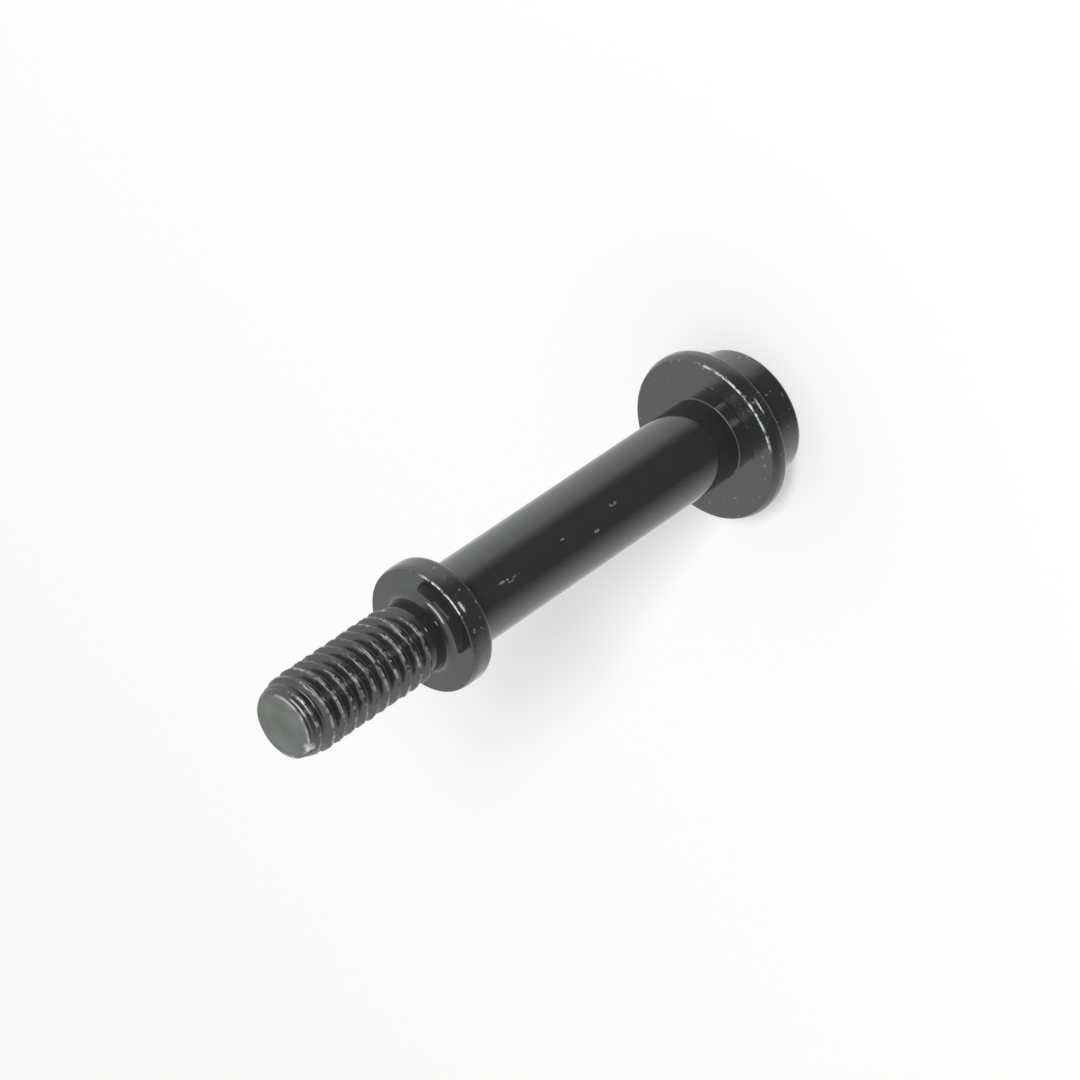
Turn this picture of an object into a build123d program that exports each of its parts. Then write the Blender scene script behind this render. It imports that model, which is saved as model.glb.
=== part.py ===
"""Shoulder bolt: one turned steel piece with a flanged round head, a plain shank,
a collar and a threaded end.

The bolt stands on its head. +Z runs along its axis, from the head to the threaded end.
The origin is the centre of the head's flat outer face. All lengths are in millimetres.
"""

import os

from build123d import *

# Head: a round cap with a wider flange under it
cap_diameter = 13.4
cap_height = 4.4
cap_edge_chamfer = 0.4
flange_diameter = 17.5
flange_thickness = 2.1
flange_back_radius = 0.7
flange_front_radius = 0.8

# Hexagon socket for the driving key
socket_across_flats = 6.35
socket_depth = 4.6
socket_lead_in = 0.35
socket_floor_depth = 0.8

# Plain shank between the head and the collar
shank_diameter = 8.7
shank_length = 37.0

# Collar that stops against the part the bolt screws into
collar_diameter = 12.8
collar_thickness = 2.9
collar_back_radius = 0.9
collar_front_radius = 0.5

# Threaded end, drawn at the outside diameter of its thread (5/16 inch, 18 to the inch)
neck_diameter = 7.1
neck_length = 2.2
thread_diameter = 7.9
thread_end_length = 18.2
thread_runout = 0.5
point_diameter = 6.4
point_length = 2.2

# Heights of the faces, counted from the head's outer face
flange_back = cap_height
flange_front = flange_back + flange_thickness
collar_back = flange_front + shank_length
collar_front = collar_back + collar_thickness
thread_start = collar_front + neck_length
thread_end = collar_front + thread_end_length

# The same turned corners are named once for the outline and for their rounding
flange_back_corner = (flange_diameter / 2, flange_back)
flange_front_corner = (flange_diameter / 2, flange_front)
collar_back_corner = (collar_diameter / 2, collar_back)
collar_front_corner = (collar_diameter / 2, collar_front)

rounded_corners = [
    (flange_back_corner, flange_back_radius),
    (flange_front_corner, flange_front_radius),
    (collar_back_corner, collar_back_radius),
    (collar_front_corner, collar_front_radius),
]

with BuildPart() as shoulder_bolt:
    # Half of the bolt's section, from the axis out, turned about the axis
    with BuildSketch(Plane.XZ) as half_section:
        with BuildLine():
            Polyline(
                (0, 0),
                (cap_diameter / 2 - cap_edge_chamfer, 0),
                (cap_diameter / 2, cap_edge_chamfer),
                (cap_diameter / 2, flange_back),
                flange_back_corner,
                flange_front_corner,
                (shank_diameter / 2, flange_front),
                (shank_diameter / 2, collar_back),
                collar_back_corner,
                collar_front_corner,
                (neck_diameter / 2, collar_front),
                (neck_diameter / 2, thread_start),
                (thread_diameter / 2, thread_start + thread_runout),
                (thread_diameter / 2, thread_end - point_length),
                (point_diameter / 2, thread_end),
                (0, thread_end),
                close=True,
            )
        make_face()
        for corner, rounding in rounded_corners:
            fillet(half_section.vertices().sort_by_distance(corner)[0], radius=rounding)
    revolve(axis=Axis.Z)

    # Hexagon socket in the head's outer face, with a drilled floor and a lead-in cone
    with BuildSketch(Plane.XY) as hexagon:
        RegularPolygon(radius=socket_across_flats / 2, side_count=6, major_radius=False)
    extrude(amount=socket_depth, mode=Mode.SUBTRACT)
    with BuildSketch(Plane.XZ) as socket_floor:
        with BuildLine():
            Polyline(
                (0, socket_depth),
                (socket_across_flats / 2, socket_depth),
                (0, socket_depth + socket_floor_depth),
                close=True,
            )
        make_face()
    revolve(axis=Axis.Z, mode=Mode.SUBTRACT)
    with BuildSketch(Plane.XZ) as lead_in:
        lead_in_radius = hexagon.vertices().sort_by(Axis.X)[-1].X + socket_lead_in
        with BuildLine():
            Polyline((0, 0), (lead_in_radius, 0), (0, lead_in_radius), close=True)
        make_face()
    revolve(axis=Axis.Z, mode=Mode.SUBTRACT)

shoulder_bolt.part.label = "shoulder_bolt"
os.makedirs("parts", exist_ok=True)
export_step(shoulder_bolt.part, "parts/shoulder_bolt.step")
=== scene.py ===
from math import cos, pi, radians, sin, tan

import bpy
import numpy as np
from mathutils import Matrix, Vector


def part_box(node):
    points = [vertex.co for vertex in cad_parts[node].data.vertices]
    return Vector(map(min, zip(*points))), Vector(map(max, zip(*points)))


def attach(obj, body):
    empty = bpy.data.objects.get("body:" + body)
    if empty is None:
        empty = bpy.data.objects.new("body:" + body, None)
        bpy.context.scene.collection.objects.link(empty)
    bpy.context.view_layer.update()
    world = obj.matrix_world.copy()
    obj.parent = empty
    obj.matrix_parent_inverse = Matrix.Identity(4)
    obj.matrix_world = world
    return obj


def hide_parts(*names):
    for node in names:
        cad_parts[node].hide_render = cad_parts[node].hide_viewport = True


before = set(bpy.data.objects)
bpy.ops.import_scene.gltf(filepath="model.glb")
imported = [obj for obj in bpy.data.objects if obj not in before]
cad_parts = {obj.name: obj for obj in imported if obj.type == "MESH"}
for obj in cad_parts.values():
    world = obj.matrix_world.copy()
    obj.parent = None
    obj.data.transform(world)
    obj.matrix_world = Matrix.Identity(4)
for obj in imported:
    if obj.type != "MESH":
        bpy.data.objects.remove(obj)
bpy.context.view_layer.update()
boltLow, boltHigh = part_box("shoulder_bolt")
scene = bpy.context.scene
scene.view_settings.view_transform = "Standard"

# Lengths in the dictionaries are millimetres and angles are degrees. Meshes are in metres.
# A bearing is counted round the bolt from its front, which is -Y, towards +X.
mm = 0.001
print("frame loaded, bolt", round((boltHigh[2] - boltLow[2]) / mm, 2), "mm tall")


# Gives the direction at a bearing and a height above the horizon
def direction(bearing, elevation):
    b, e = radians(bearing), radians(elevation)
    return Vector((sin(b) * cos(e), -cos(b) * cos(e), sin(e)))


# A number socket: sums and products of values add their Math nodes
class Value:
    def __init__(self, graph, socket):
        self.graph = graph
        self.socket = socket

    def math(self, operation, *inputs):
        return self.graph.value("ShaderNodeMath", {"operation": operation}, dict(enumerate(inputs)))

    def __add__(self, other):
        return self.math("ADD", self, other)

    def __radd__(self, other):
        return self.math("ADD", other, self)

    def __sub__(self, other):
        return self.math("SUBTRACT", self, other)

    def __rsub__(self, other):
        return self.math("SUBTRACT", other, self)

    def __mul__(self, other):
        return self.math("MULTIPLY", self, other)

    def __rmul__(self, other):
        return self.math("MULTIPLY", other, self)

    def __truediv__(self, other):
        return self.math("DIVIDE", self, other)

    # A smooth rise from 0 at low to 1 at high
    def rise(self, low, high):
        settings = {"interpolation_type": "SMOOTHSTEP", "clamp": True}
        inputs = {"Value": self, "From Min": low, "From Max": high}
        return self.graph.value("ShaderNodeMapRange", settings, inputs)


class Graph:
    def __init__(self, owner):
        owner.use_nodes = True
        self.tree = owner.node_tree
        self.tree.nodes.clear()

    # Makes one node: settings go on the node first, then values or links into its inputs
    def node(self, kind, settings=None, inputs=None):
        made = self.tree.nodes.new(kind)
        for name, setting in (settings or {}).items():
            if name == "stops":
                ramp = made.color_ramp
                while len(ramp.elements) < len(setting):
                    ramp.elements.new(0.5)
                for element, (place, colour) in zip(ramp.elements, setting):
                    element.position = place
                    element.color = (*colour, 1)
            else:
                setattr(made, name, setting)
        for name, given in (inputs or {}).items():
            if isinstance(given, Value):
                given = given.socket
            if isinstance(given, bpy.types.NodeSocket):
                self.tree.links.new(given, made.inputs[name])
            else:
                made.inputs[name].default_value = given
        return made

    def value(self, kind, settings=None, inputs=None, output=0):
        return Value(self, self.node(kind, settings, inputs).outputs[output])

    # One colour over another by a mask
    def blend(self, mask, below, above, way="MIX"):
        made = self.node("ShaderNodeMix", {"data_type": "RGBA", "blend_type": way},
                         {"Factor": mask, 6: below, 7: above})
        return made.outputs[2]


bolt = {
    "capDiameter": 13.4, "capHeight": 4.4, "capRounding": 0.5, "capRootRounding": 0.15,
    "flangeThickness": 2.1, "flangeBackRounding": 0.7, "flangeFrontRounding": 0.22,
    "shankDiameter": 8.7, "shankLength": 37.0, "shankRootRounding": 0.16,
    "collarDiameter": 12.8, "collarThickness": 2.9,
    "collarBackRounding": 0.9, "collarFrontRounding": 0.18, "collarRootRounding": 0.12,
    # The rims fall in towards their front faces: how far in, over what height, rounding of the bend
    "flangeSlope": (0.32, 0.7, 1.2), "collarSlope": (0.16, 0.6, 1.8),
    "neckDiameter": 7.1, "neckRootRounding": 0.9,
    "socketAcrossFlats": 6.35, "socketDepth": 4.6, "socketLeadIn": 0.35, "socketFloorDepth": 0.8,
    "socketRimRounding": 0.05, "socketRimDrop": 0.2,
    "columns": 216, "arcSteps": 8,
}
thread = {
    "diameter": 7.9, "pitch": 25.4 / 18, "depth": 0.72,
    "crestFlat": 0.26, "crestAtFront": 10.23,  # height over the collar of a crest at bearing 0
    "runOutFrom": 1.8, "runOutTo": 3.2,
    "flankAngle": 60, "crestSoftness": 0.06, "rootSoftness": 0.12, "crestDrop": 0.035,
    # Uneven lines along the crests, each with its height, its step and its seed
    "waver": [(0.022, 0.11, 3), (0.02, 0.5, 4)],
    "tears": [(0.04, 0.08, 5), (0.025, 0.3, 6)], "tearGrain": [(0.022, 0.35, 9)],
    "pointDiameter": 6.4, "pointLength": 2.2, "endDish": 0.10, "rowSpacing": 0.052,
    "endEdge": 0.12, "pointGroove": 0.25, "pointFill": 0.6,
    "endRings": [0.06, 0.16, 0.28, 0.4, 0.5, 0.58, 0.66, 0.74, 0.82, 0.9, 0.96],
    "chipBearing": -66, "chipWidth": 12, "chipDepth": 0.38, "chipHeight": 0.9, "chipReach": (2.5, 3.1),
    "lapHeight": 0.07, "lapPitch": 0.5, "lapLean": 0.05,  # fine ridges that rolling leaves on the point
}

flangeDiameter = (boltHigh[0] - boltLow[0]) / mm
threadEnd = boltHigh[2] / mm
flangeFront = bolt["capHeight"] + bolt["flangeThickness"]
collarBack = flangeFront + bolt["shankLength"]
collarFront = collarBack + bolt["collarThickness"]
neckTop = collarFront + thread["runOutFrom"]

angle = np.arange(bolt["columns"]) * 2 * pi / bolt["columns"]
bearing = np.mod(angle + pi / 2 + pi, 2 * pi) - pi


def smoothRise(x, low, high):
    t = np.clip((x - low) / (high - low), 0, 1)
    return t * t * (3 - 2 * t)


# Uneven line: random heights at knots a step apart, joined by straight lines
def unevenLine(along, step, seed):
    knots = np.arange(along.min() - 2 * step, along.max() + 3 * step, step)
    heights = np.random.default_rng(seed).uniform(-1, 1, len(knots))
    return np.interp(along, knots, heights)


# Sum of uneven lines, each with its height, its step and its seed
def unevenSum(along, lines):
    return sum(height * unevenLine(along, step, seed) for height, step, seed in lines)


# Outline through corners (radius, height, rounding): each corner is an arc between its two tangent
# points, whose points are the end spokes' mean weighted by the sines of the angle left and gone
def roundedOutline(corners, steps):
    points = corners[:, :2]
    before = points[:-2] - points[1:-1]
    after = points[2:] - points[1:-1]
    before /= np.linalg.norm(before, axis=1, keepdims=True)
    after /= np.linalg.norm(after, axis=1, keepdims=True)
    half = np.arccos(np.clip((before * after).sum(1), -1, 1)) / 2
    rounding = corners[1:-1, 2]
    middle = before + after
    middle /= np.linalg.norm(middle, axis=1, keepdims=True)
    centre = points[1:-1] + middle * (rounding / np.sin(half))[:, None]
    reach = (rounding / np.tan(half))[:, None]
    first = points[1:-1] + before * reach - centre
    last = points[1:-1] + after * reach - centre
    turn = (pi - 2 * half)[:, None, None]
    share = np.linspace(0, 1, steps)[None, :, None]
    spokes = np.sin((1 - share) * turn) * first[:, None] + np.sin(share * turn) * last[:, None]
    arc = spokes / np.sin(turn)
    return np.vstack([points[:1], (centre[:, None] + arc).reshape(-1, 2), points[-1:]])


# Thread: the distance from the nearest crest line, measured along the axis, gives the radius. It is
# the full radius on the crest's flat and falls down the flank to the root. The run-out fades it into
# the neck, and the point's cone cuts it off.
def threadRadius(height, bearing):
    pitch, outside = thread["pitch"], thread["diameter"] / 2
    turns = (height - collarFront - thread["crestAtFront"]) / pitch - bearing / (2 * pi)
    nearest = np.round(turns)
    along = bearing + 2 * pi * nearest
    fromCrest = (turns - nearest) * pitch + unevenSum(along, thread["waver"])
    torn = unevenSum(along, thread["tears"])
    torn = torn + unevenSum(height * 9 + along * 3, thread["tearGrain"])
    slope = tan(radians(thread["flankAngle"]))
    down = (np.abs(fromCrest) - thread["crestFlat"] / 2) * slope
    # Soft corners at the crest and the root
    down = 0.5 * (down + np.sqrt(down ** 2 + thread["crestSoftness"] ** 2)) - 0.01
    over = down - thread["depth"]
    down = down - 0.5 * (over + np.sqrt(over ** 2 + thread["rootSoftness"] ** 2))
    shape = outside - thread["crestDrop"] - down + torn * np.clip(1 - down / 0.25, 0, 1)
    full = smoothRise(height - collarFront, thread["runOutFrom"], thread["runOutTo"])
    neck = bolt["neckDiameter"] / 2
    radius = neck + full * (shape - neck)
    fromEnd = threadEnd - height
    pointShare = np.clip(1 - fromEnd / thread["pointLength"], 0, 1)
    lapTurn = (fromEnd + bearing * thread["lapLean"]) * 2 * pi / thread["lapPitch"]
    laps = thread["lapHeight"] * np.sqrt(pointShare) * np.cos(lapTurn)
    tip = thread["pointDiameter"] / 2
    brokenEdge = thread["endEdge"] * np.clip(1 - fromEnd / thread["endEdge"], 0, 1) ** 2
    cone = tip + fromEnd * (outside - tip) / thread["pointLength"] + laps - brokenEdge
    filling = (outside - thread["pointGroove"] - radius) * thread["pointFill"] * pointShare
    radius = radius + filling + laps
    return np.minimum(radius, cone), fromCrest, along, full


def hexagonRadius(angle, acrossFlats):
    return acrossFlats / 2 / np.cos(np.mod(angle, pi / 3) - pi / 6)


# Threaded part, from the end down to the neck
threadHeights = np.arange(threadEnd, neckTop, -thread["rowSpacing"])
threadHeight = np.repeat(threadHeights[:, None], bolt["columns"], 1)
threadRound, fromCrest, alongThread, threadFull = threadRadius(threadHeight, bearing[None, :])

# End face: shares of the first thread row's radius, with a shallow dish in the middle
share = np.array(thread["endRings"])
endRound = share[:, None] * threadRound[:1]
dish = thread["endDish"] * (1 - smoothRise(share, 0.25, 0.8))
endHeight = threadEnd - np.repeat(dish[:, None], bolt["columns"], 1)

# Neck, collar, shank, flange and cap, down to the rim of the socket
leadInRadius = bolt["socketAcrossFlats"] / 2 / cos(pi / 6) + bolt["socketLeadIn"]
bodyCorners = np.array([
    (bolt["neckDiameter"] / 2, neckTop, 0),
    (bolt["neckDiameter"] / 2, collarFront, bolt["neckRootRounding"]),
    (bolt["collarDiameter"] / 2 - bolt["collarSlope"][0], collarFront, bolt["collarFrontRounding"]),
    (bolt["collarDiameter"] / 2, collarFront - bolt["collarSlope"][1], bolt["collarSlope"][2]),
    (bolt["collarDiameter"] / 2, collarBack, bolt["collarBackRounding"]),
    (bolt["shankDiameter"] / 2, collarBack, bolt["collarRootRounding"]),
    (bolt["shankDiameter"] / 2, flangeFront, bolt["shankRootRounding"]),
    (flangeDiameter / 2 - bolt["flangeSlope"][0], flangeFront, bolt["flangeFrontRounding"]),
    (flangeDiameter / 2, flangeFront - bolt["flangeSlope"][1], bolt["flangeSlope"][2]),
    (flangeDiameter / 2, bolt["capHeight"], bolt["flangeBackRounding"]),
    (bolt["capDiameter"] / 2, bolt["capHeight"], bolt["capRootRounding"]),
    (bolt["capDiameter"] / 2, 0, bolt["capRounding"]),
    (leadInRadius, 0, bolt["socketRimRounding"]),
    (leadInRadius - bolt["socketRimDrop"], bolt["socketRimDrop"], 0),
])
outline = roundedOutline(bodyCorners, bolt["arcSteps"])[:-1]
bodyRound = np.repeat(outline[:, :1], bolt["columns"], 1)
bodyHeight = np.repeat(outline[:, 1:], bolt["columns"], 1)

# Socket: the lead-in cone runs to the hexagon, which goes down to the drilled floor's cone
hexagon = hexagonRadius(angle, bolt["socketAcrossFlats"])[None, :]
share = np.linspace(0.1, 1, 6)[:, None]
leadRound = leadInRadius + share * (hexagon - leadInRadius)
leadHeight = share * (leadInRadius - hexagon)
share = np.linspace(0, 1, 12)[1:, None]
wallRound = np.repeat(hexagon, len(share), 0)
wallHeight = leadHeight[-1:] + share * (bolt["socketDepth"] - leadHeight[-1:])
share = np.linspace(0.999, 0.05, 10)[:, None]
flat = bolt["socketAcrossFlats"] / 2
floorRound = np.repeat(share * flat, bolt["columns"], 1)
floorHeight = bolt["socketDepth"] + np.repeat((1 - share) * bolt["socketFloorDepth"], bolt["columns"], 1)

radius = np.vstack([endRound, threadRound, bodyRound, leadRound, wallRound, floorRound])
height = np.vstack([endHeight, threadHeight, bodyHeight, leadHeight, wallHeight, floorHeight])
rows = len(radius)

# A chip in the end's edge: the surface dips by a bell curve of the bearing, from inside the edge out
chip = (np.exp(-((bearing - radians(thread["chipBearing"])) / radians(thread["chipWidth"])) ** 2)
        * smoothRise(radius, *thread["chipReach"])
        * np.clip(1 - (threadEnd - height) / thread["chipHeight"], 0, 1))
height = height - thread["chipDepth"] * chip
print("bolt surface", rows, "rows of", bolt["columns"])


# A ring grid closed by a point at each end: ring after ring round the axis
def ringGrid(name, radius, height, topHeight, bottomHeight):
    rows, columns = radius.shape
    rings = np.stack([radius * np.cos(angle), radius * np.sin(angle), height], -1).reshape(-1, 3)
    points = np.vstack([[(0, 0, topHeight)], rings, [(0, 0, bottomHeight)]]) * mm
    first = 1 + np.arange(rows)[:, None] * columns + np.arange(columns)[None, :]
    second = 1 + np.arange(rows)[:, None] * columns + (np.arange(columns)[None, :] + 1) % columns
    quads = np.stack([first[:-1], first[1:], second[1:], second[:-1]], -1).reshape(-1, 4)
    top = np.stack([np.zeros(columns, int), first[0], second[0]], -1)
    bottom = np.stack([first[-1], np.full(columns, len(points) - 1), second[-1]], -1)
    mesh = bpy.data.meshes.new(name)
    mesh.from_pydata(points.tolist(), [], quads.tolist() + top.tolist() + bottom.tolist())
    mesh.shade_smooth()
    mesh.update()
    made = bpy.data.objects.new(name, mesh)
    scene.collection.objects.link(made)
    return made


boltSurface = ringGrid("bolt_surface", radius, height, threadEnd - thread["endDish"],
                       bolt["socketDepth"] + bolt["socketFloorDepth"])

rubbing = {
    "crest": (0.05, 0.2),  # distances from a crest line where the rubbing starts and ends to fade
    "share": 0.15, "patches": [(0.55, 0.06, 11), (0.6, 0.31, 12)],
    "grainShare": 0.6, "grain": [(0.6, 0.4, 13)],
    "knockedBearings": (-92, -80, 45, 65),
    "edgeRadius": 3.13, "edgeDrop": 0.05, "edgeWidth": 0.1, "edgeShare": 0.75, "edgeGrain": [(0.5, 0.12, 14)],
}


# Bare steel where the black finish is rubbed off: scattered patches on the thread's crests, and the
# end's edge over the bearings where it was knocked
def wornSteel():
    crest = 1 - smoothRise(np.abs(fromCrest), *rubbing["crest"])
    patches = rubbing["share"] + unevenSum(alongThread, rubbing["patches"])
    grain = unevenSum(threadHeight * 9 + alongThread * 2, rubbing["grain"])
    patches = patches * (rubbing["grainShare"] + grain)
    worn = np.zeros_like(radius)
    first = len(endRound)
    worn[first:first + len(threadRound)] = np.clip(crest * (patches * 1.6 - 0.1) * threadFull, 0, 1)
    start, full, fade, stop = (radians(b) for b in rubbing["knockedBearings"])
    knocked = smoothRise(bearing, start, full) * (1 - smoothRise(bearing, fade, stop))
    edge = np.exp(-((height - threadEnd + rubbing["edgeDrop"]) / rubbing["edgeWidth"]) ** 2
                  - ((radius - rubbing["edgeRadius"]) / rubbing["edgeWidth"]) ** 2)
    edge = np.maximum(edge, smoothRise(chip, 0.25, 0.6))
    uneven = rubbing["edgeShare"] + unevenSum(bearing, rubbing["edgeGrain"])
    return np.maximum(worn, edge * knocked * np.clip(uneven, 0, 1))


wear = np.concatenate([[0], wornSteel().ravel(), [0]]).astype(np.float32)
boltSurface.data.attributes.new("wear", "FLOAT", "POINT").data.foreach_set("value", wear)


blackFinish = {
    "black": (0.0160, 0.0165, 0.0175), "warmBlack": (0.0195, 0.0158, 0.0174), "steel": (0.55, 0.56, 0.57),
    "blackRoughness": 0.06, "steelRoughness": 0.38, "reflection": 1.8,
    "endGrey": (0.040, 0.045, 0.042), "endPale": (0.108, 0.116, 0.108), "endRoughness": 0.42,
    "scratch": (0.16, 0.17, 0.17), "rimRoughness": 0.10, "threadRoughness": 0.12,
    # Radii where the end stops and where the knocked rims start, each over a short fade
    "endRadius": (3.05, 3.15), "rimRadius": (5.9, 6.35),
    # Sizes of the patterns
    "tintSize": 3.5, "endSize": 2.2, "speckSize": 0.55, "dotSize": 0.5, "rubSize": 0.45,
    "scratchSize": 0.35, "sheenSize": 0.8, "fineSize": 0.16, "broadSize": 0.9, "reliefDepth": 0.02,
    # Worn front edges: lowest radius and height, first and last bearing
    "wornEdges": [(8.28, 6.30, -32, 48), (6.10, 46.2, -14, 42)],
    # Scratches on the shank: bearing and height of both ends, and width
    "scratches": [(-4.4, 39.8, -8.4, 36.7, 0.16), (-9.5, 38.9, -10.5, 37.6, 0.10),
                  (-1.5, 24.0, -2.4, 22.9, 0.22), (-18.0, 27.0, -18.9, 26.1, 0.20),
                  (-3.0, 31.0, -3.6, 30.2, 0.10), (118, 30.0, 108, 25.0, 0.12),
                  (-140, 20.0, -128, 24.0, 0.12)],
}


def makeBlackSteel():
    material = bpy.data.materials.new("black_steel")
    g = Graph(material)
    place = g.node("ShaderNodeTexCoord").outputs["Object"]
    axes = g.node("ShaderNodeSeparateXYZ", {}, {0: place})
    x, y, z = (Value(g, axes.outputs[i]) * 1000 for i in range(3))  # in millimetres
    around = g.value("ShaderNodeMath", {"operation": "ARCTAN2"}, {0: x, 1: 0 - y})
    reach = g.value("ShaderNodeMath", {"operation": "SQRT"}, {0: x * x + y * y})

    def noise(size, detail=2):
        inputs = {"Vector": place, "Scale": 1 / (size * mm), "Detail": detail}
        return g.value("ShaderNodeTexNoise", {}, inputs)

    # Scratches: a point's distance across and along each line, both measured on the unrolled shank
    shank = bolt["shankDiameter"] / 2
    scratched = None
    for bearingOne, heightOne, bearingTwo, heightTwo, width in blackFinish["scratches"]:
        start = Vector((radians(bearingOne) * shank, heightOne))
        run = Vector((radians(bearingTwo) * shank, heightTwo)) - start
        long = run.length
        run.normalize()
        u, v = around * shank - start.x, z - start.y
        along = u * run.x + v * run.y
        across = g.value("ShaderNodeMath", {"operation": "ABSOLUTE"}, {0: u * run.y - v * run.x})
        line = (1 - across.rise(0.3 * width, width)) * along.rise(0, 0.3 * long)
        line = line * (1 - along.rise(0.7 * long, long))
        scratched = line if scratched is None else line.math("MAXIMUM", scratched, line)
    onShank = (1 - reach.rise(shank + 0.05, shank + 0.15)) * reach.rise(shank - 0.2, shank - 0.1)
    scratched = scratched * onShank * noise(blackFinish["scratchSize"]).rise(0.42, 0.6)

    # The sawn end is greyer and rougher, with a darker middle
    onEnd = z.rise(threadEnd - 0.25, threadEnd - 0.12) * (1 - reach.rise(*blackFinish["endRadius"]))
    paleness = noise(blackFinish["endSize"], 4).rise(0.35, 0.65) * 0.55 + reach.rise(0.6, 2.2) * 0.45
    endColour = g.blend(paleness, (*blackFinish["endGrey"], 1), (*blackFinish["endPale"], 1))

    # Knocked rims: mottled, with small rubbed specks
    onRim = reach.rise(*blackFinish["rimRadius"])
    specks = noise(blackFinish["speckSize"], 3).rise(0.66, 0.74) * onRim * 0.35
    # Worn lines along the front edges of the flange and the collar, over the bearings that rub
    for rim, low, first, last in blackFinish["wornEdges"]:
        fadeIn = around.rise(radians(first - 4), radians(first + 4))
        fadeOut = around.rise(radians(last - 6), radians(last + 6))
        line = (z.rise(low, low + 0.08) * (1 - z.rise(low + 1, low + 1.1))
                * reach.rise(rim, rim + 0.08) * fadeIn * (1 - fadeOut))
        specks = specks + line * noise(blackFinish["rubSize"], 3).rise(0.40, 0.58) * 0.9
    dots = noise(blackFinish["dotSize"], 1).rise(0.80, 0.84) * 0.4
    worn = Value(g, g.node("ShaderNodeAttribute", {"attribute_name": "wear"}).outputs["Fac"])
    bare = g.value("ShaderNodeMath", {"operation": "MAXIMUM"}, {0: worn, 1: specks})

    tint = noise(blackFinish["tintSize"]).rise(0.5, 0.7)
    colour = g.blend(tint, (*blackFinish["black"], 1), (*blackFinish["warmBlack"], 1))
    colour = g.blend(onEnd, colour, endColour)
    colour = g.blend(scratched + dots * (1 - onEnd) * 0.5, colour, (*blackFinish["scratch"], 1))
    colour = g.blend(bare, colour, (*blackFinish["steel"], 1))
    crestRub = g.value("ShaderNodeMath", {"operation": "MAXIMUM"}, {0: bare, 1: onEnd})
    smooth = blackFinish["blackRoughness"]
    rough = (smooth + crestRub * (blackFinish["endRoughness"] - smooth)
             + onRim * blackFinish["rimRoughness"] * noise(blackFinish["sheenSize"], 3)
             + z.rise(threadEnd - 16.5, threadEnd - 15) * blackFinish["threadRoughness"])
    relief = (noise(blackFinish["fineSize"], 3) * (0.25 + onRim * 0.75 + onEnd * 2)
              + noise(blackFinish["broadSize"], 2) * (onRim * 1.6 + 0.2))
    normal = g.node("ShaderNodeBump", {}, {"Strength": 0.5, "Distance": blackFinish["reliefDepth"] * mm,
                                           "Height": relief})
    shader = g.node("ShaderNodeBsdfPrincipled", {}, {
        "Base Color": colour, "Roughness": rough, "Metallic": bare, "IOR": blackFinish["reflection"],
        "Normal": normal.outputs[0],
    })
    g.node("ShaderNodeOutputMaterial", {}, {"Surface": shader.outputs[0]})
    return material


boltSurface.data.materials.append(makeBlackSteel())
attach(boltSurface, "root")
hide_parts("shoulder_bolt")
print("finish made")


studio = {
    "floorSize": 4000, "floorColour": (0.965, 0.97, 0.96), "white": (0.98, 0.99, 0.975),
    "spread": (0.53, 0.53, 0.53), "floorGlow": 0.4, "aimHeight": 29.5,
    # Brightness of the surroundings that the bolt mirrors, by bearing
    "mirrored": [(-180, 1.0), (-106, 1.0), (-98, 0.9), (-91, 0.81), (-78, 0.67), (-66, 0.41),
                 (-55, 0.25), (-50, 0.12), (33, 0.12), (39, 0.25), (46, 0.39), (51, 0.55), (57, 0.77),
                 (66, 0.92), (80, 1.0), (98, 1.07), (115, 1.06), (136, 0.96), (180, 1.0)],
    "overhead": (15, 55),  # elevations between which that gives way to plain white
    "underfoot": (-0.97, -0.75),  # heights of the direction between which it darkens below
    "mirroredWhite": 1.0, "mirroredBelow": 0.35, "mirroredTint": (0.96, 1.0, 0.95),
    "glint": {"bearing": -3, "elevation": -20, "radius": 9, "core": 0.6, "brightness": 8},
}


def makeFloor():
    half = studio["floorSize"] / 2 * mm
    mesh = bpy.data.meshes.new("floor")
    corners = [(-half, -half, 0), (half, -half, 0), (half, half, 0), (-half, half, 0)]
    mesh.from_pydata(corners, [], [(0, 1, 2, 3)])
    floor = bpy.data.objects.new("floor", mesh)
    scene.collection.objects.link(floor)
    material = bpy.data.materials.new("pale_floor")
    g = Graph(material)
    plain = g.node("ShaderNodeBsdfDiffuse", {}, {"Color": (*studio["floorColour"], 1)})
    glow = g.node("ShaderNodeEmission", {}, {"Color": (*studio["white"], 1)})
    seen = Value(g, g.node("ShaderNodeLightPath").outputs["Is Camera Ray"])
    mixed = g.node("ShaderNodeMixShader", {},
                   {0: seen * studio["floorGlow"], 1: plain.outputs[0], 2: glow.outputs[0]})
    g.node("ShaderNodeOutputMaterial", {}, {"Surface": mixed.outputs[0]})
    mesh.materials.append(material)
    floor.visible_glossy = False  # the bolt mirrors the studio below it, as it would held over the table


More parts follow.
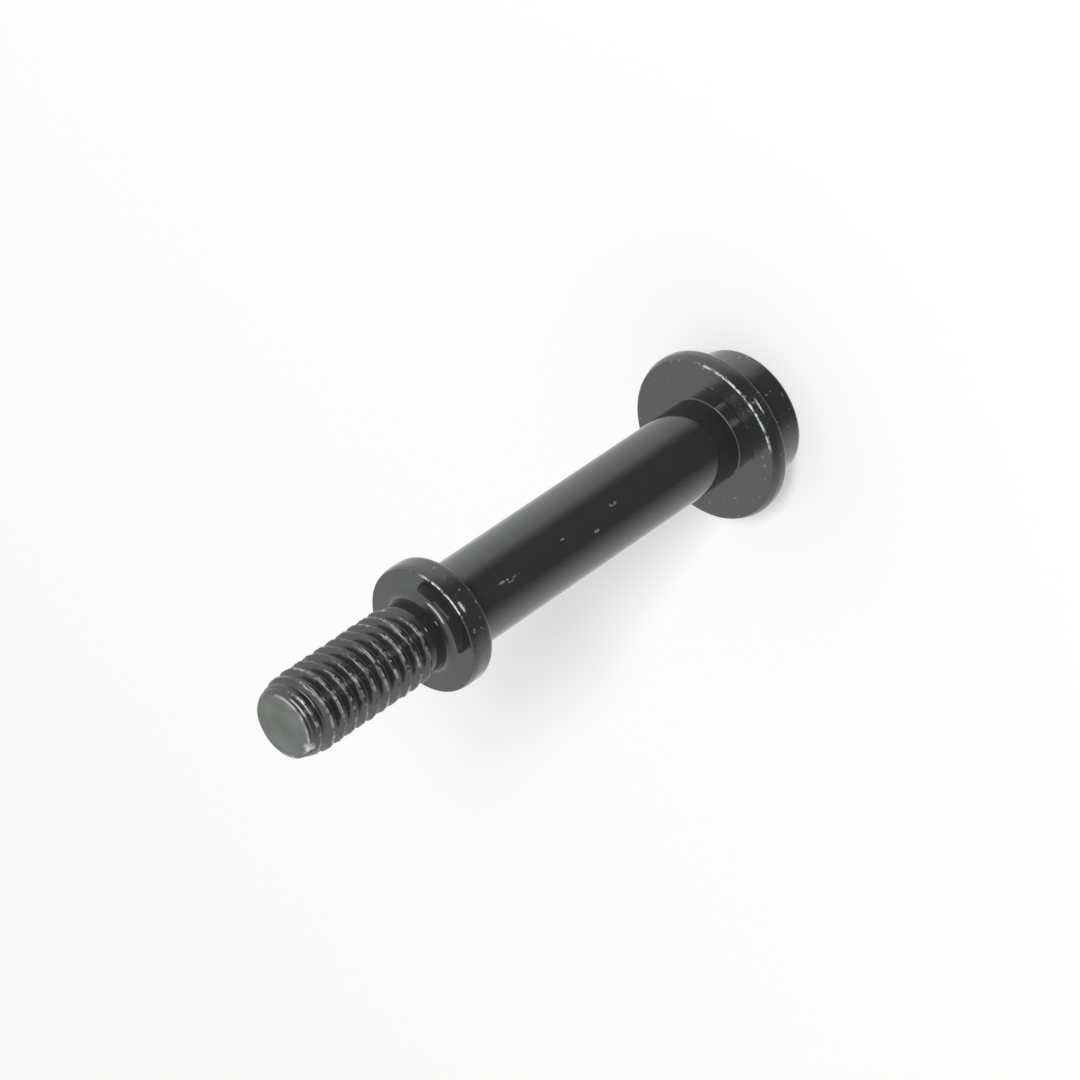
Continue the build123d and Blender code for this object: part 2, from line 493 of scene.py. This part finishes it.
def makeSurroundings():
    world = bpy.data.worlds.new("studio")
    scene.world = world
    g = Graph(world)
    ray = g.node("ShaderNodeLightPath")
    glossy = Value(g, ray.outputs["Is Glossy Ray"])
    towards = g.node("ShaderNodeSeparateXYZ", {}, {0: g.node("ShaderNodeTexCoord").outputs["Generated"]})
    x, y, z = (Value(g, towards.outputs[i]) for i in range(3))
    bearing = g.value("ShaderNodeMath", {"operation": "ARCTAN2"}, {0: x, 1: 0 - y})
    stops = [((b + 180) / 360, (v, v, v)) for b, v in studio["mirrored"]]
    around = g.node("ShaderNodeValToRGB", {"stops": stops}, {0: bearing / (2 * pi) + 0.5}).outputs[0]
    high = z.rise(*(sin(radians(elevation)) for elevation in studio["overhead"]))
    white = studio["mirroredWhite"]
    mirrored = g.blend(high, around, (white, white, white, 1))
    low = 1 - z.rise(*studio["underfoot"])
    below = studio["mirroredBelow"]
    mirrored = g.blend(low, mirrored, (below, below, below, 1))
    mirrored = g.blend(1, mirrored, (*studio["mirroredTint"], 1), "MULTIPLY")
    glint = studio["glint"]
    centre = direction(glint["bearing"], glint["elevation"])
    facing = g.value("ShaderNodeVectorMath", {"operation": "DOT_PRODUCT"},
                     {0: towards.inputs[0].links[0].from_socket, 1: centre}, "Value")
    bright = facing.rise(cos(radians(glint["radius"])), cos(radians(glint["radius"] * glint["core"])))
    mirrored = g.blend(bright, mirrored, (glint["brightness"],) * 3 + (1,))
    fromCamera = Value(g, ray.outputs["Is Camera Ray"])
    spread = g.blend(fromCamera, (*studio["spread"], 1), (*studio["white"], 1))
    seen = g.blend(glossy, spread, mirrored)
    background = g.node("ShaderNodeBackground", {}, {"Color": seen, "Strength": 1})
    g.node("ShaderNodeOutputWorld", {}, {"Surface": background.outputs[0]})


# One lamp gives the floor its soft shadow, a wide one draws bright lines along the turned edges
lamps = {
    "shadow_lamp": {"bearing": 8, "elevation": 44, "distance": 2000, "width": 340, "height": 340,
                    "brightness": 82},
    "edge_lamp": {"bearing": 24, "elevation": 60, "distance": 600, "width": 520, "height": 150,
                  "brightness": 6},
}
aim = Vector((0, 0, studio["aimHeight"])) * mm


def makeLamp(name, lamp):
    data = bpy.data.lights.new(name, "AREA")
    data.shape = "RECTANGLE"
    data.size, data.size_y = lamp["width"] * mm, lamp["height"] * mm
    data.energy = lamp["brightness"] * pi * data.size * data.size_y
    made = bpy.data.objects.new(name, data)
    scene.collection.objects.link(made)
    back = direction(lamp["bearing"], lamp["elevation"])
    made.location = aim + back * lamp["distance"] * mm
    made.rotation_euler = back.to_track_quat("Z", "Y").to_euler()
    made.visible_glossy = name == "edge_lamp"
    made.visible_diffuse = name == "shadow_lamp"


camera = {
    "place": (0.0, -332.91, 281.15), "back": (-0.0021, -0.79777, 0.60296), "roll": 124.05,
    "lens": 150, "sensor": 36, "nearest": 10, "farthest": 20000,
}


def makeCamera():
    data = bpy.data.cameras.new("camera")
    data.lens = camera["lens"]
    data.sensor_width = camera["sensor"]
    data.clip_start, data.clip_end = camera["nearest"] * mm, camera["farthest"] * mm
    made = bpy.data.objects.new("camera", data)
    scene.collection.objects.link(made)
    back = Vector(camera["back"]).normalized()
    level = Vector((0, 0, 1)).cross(back).normalized()
    upright = back.cross(level)
    roll = radians(camera["roll"])
    up = upright * cos(roll) + level * sin(roll)
    right = up.cross(back)
    turned = Matrix((right, up, back)).transposed().to_4x4()
    made.matrix_world = Matrix.Translation(Vector(camera["place"]) * mm) @ turned
    scene.camera = made


makeFloor()
makeSurroundings()
for name, lamp in lamps.items():
    makeLamp(name, lamp)
makeCamera()
print("studio made")
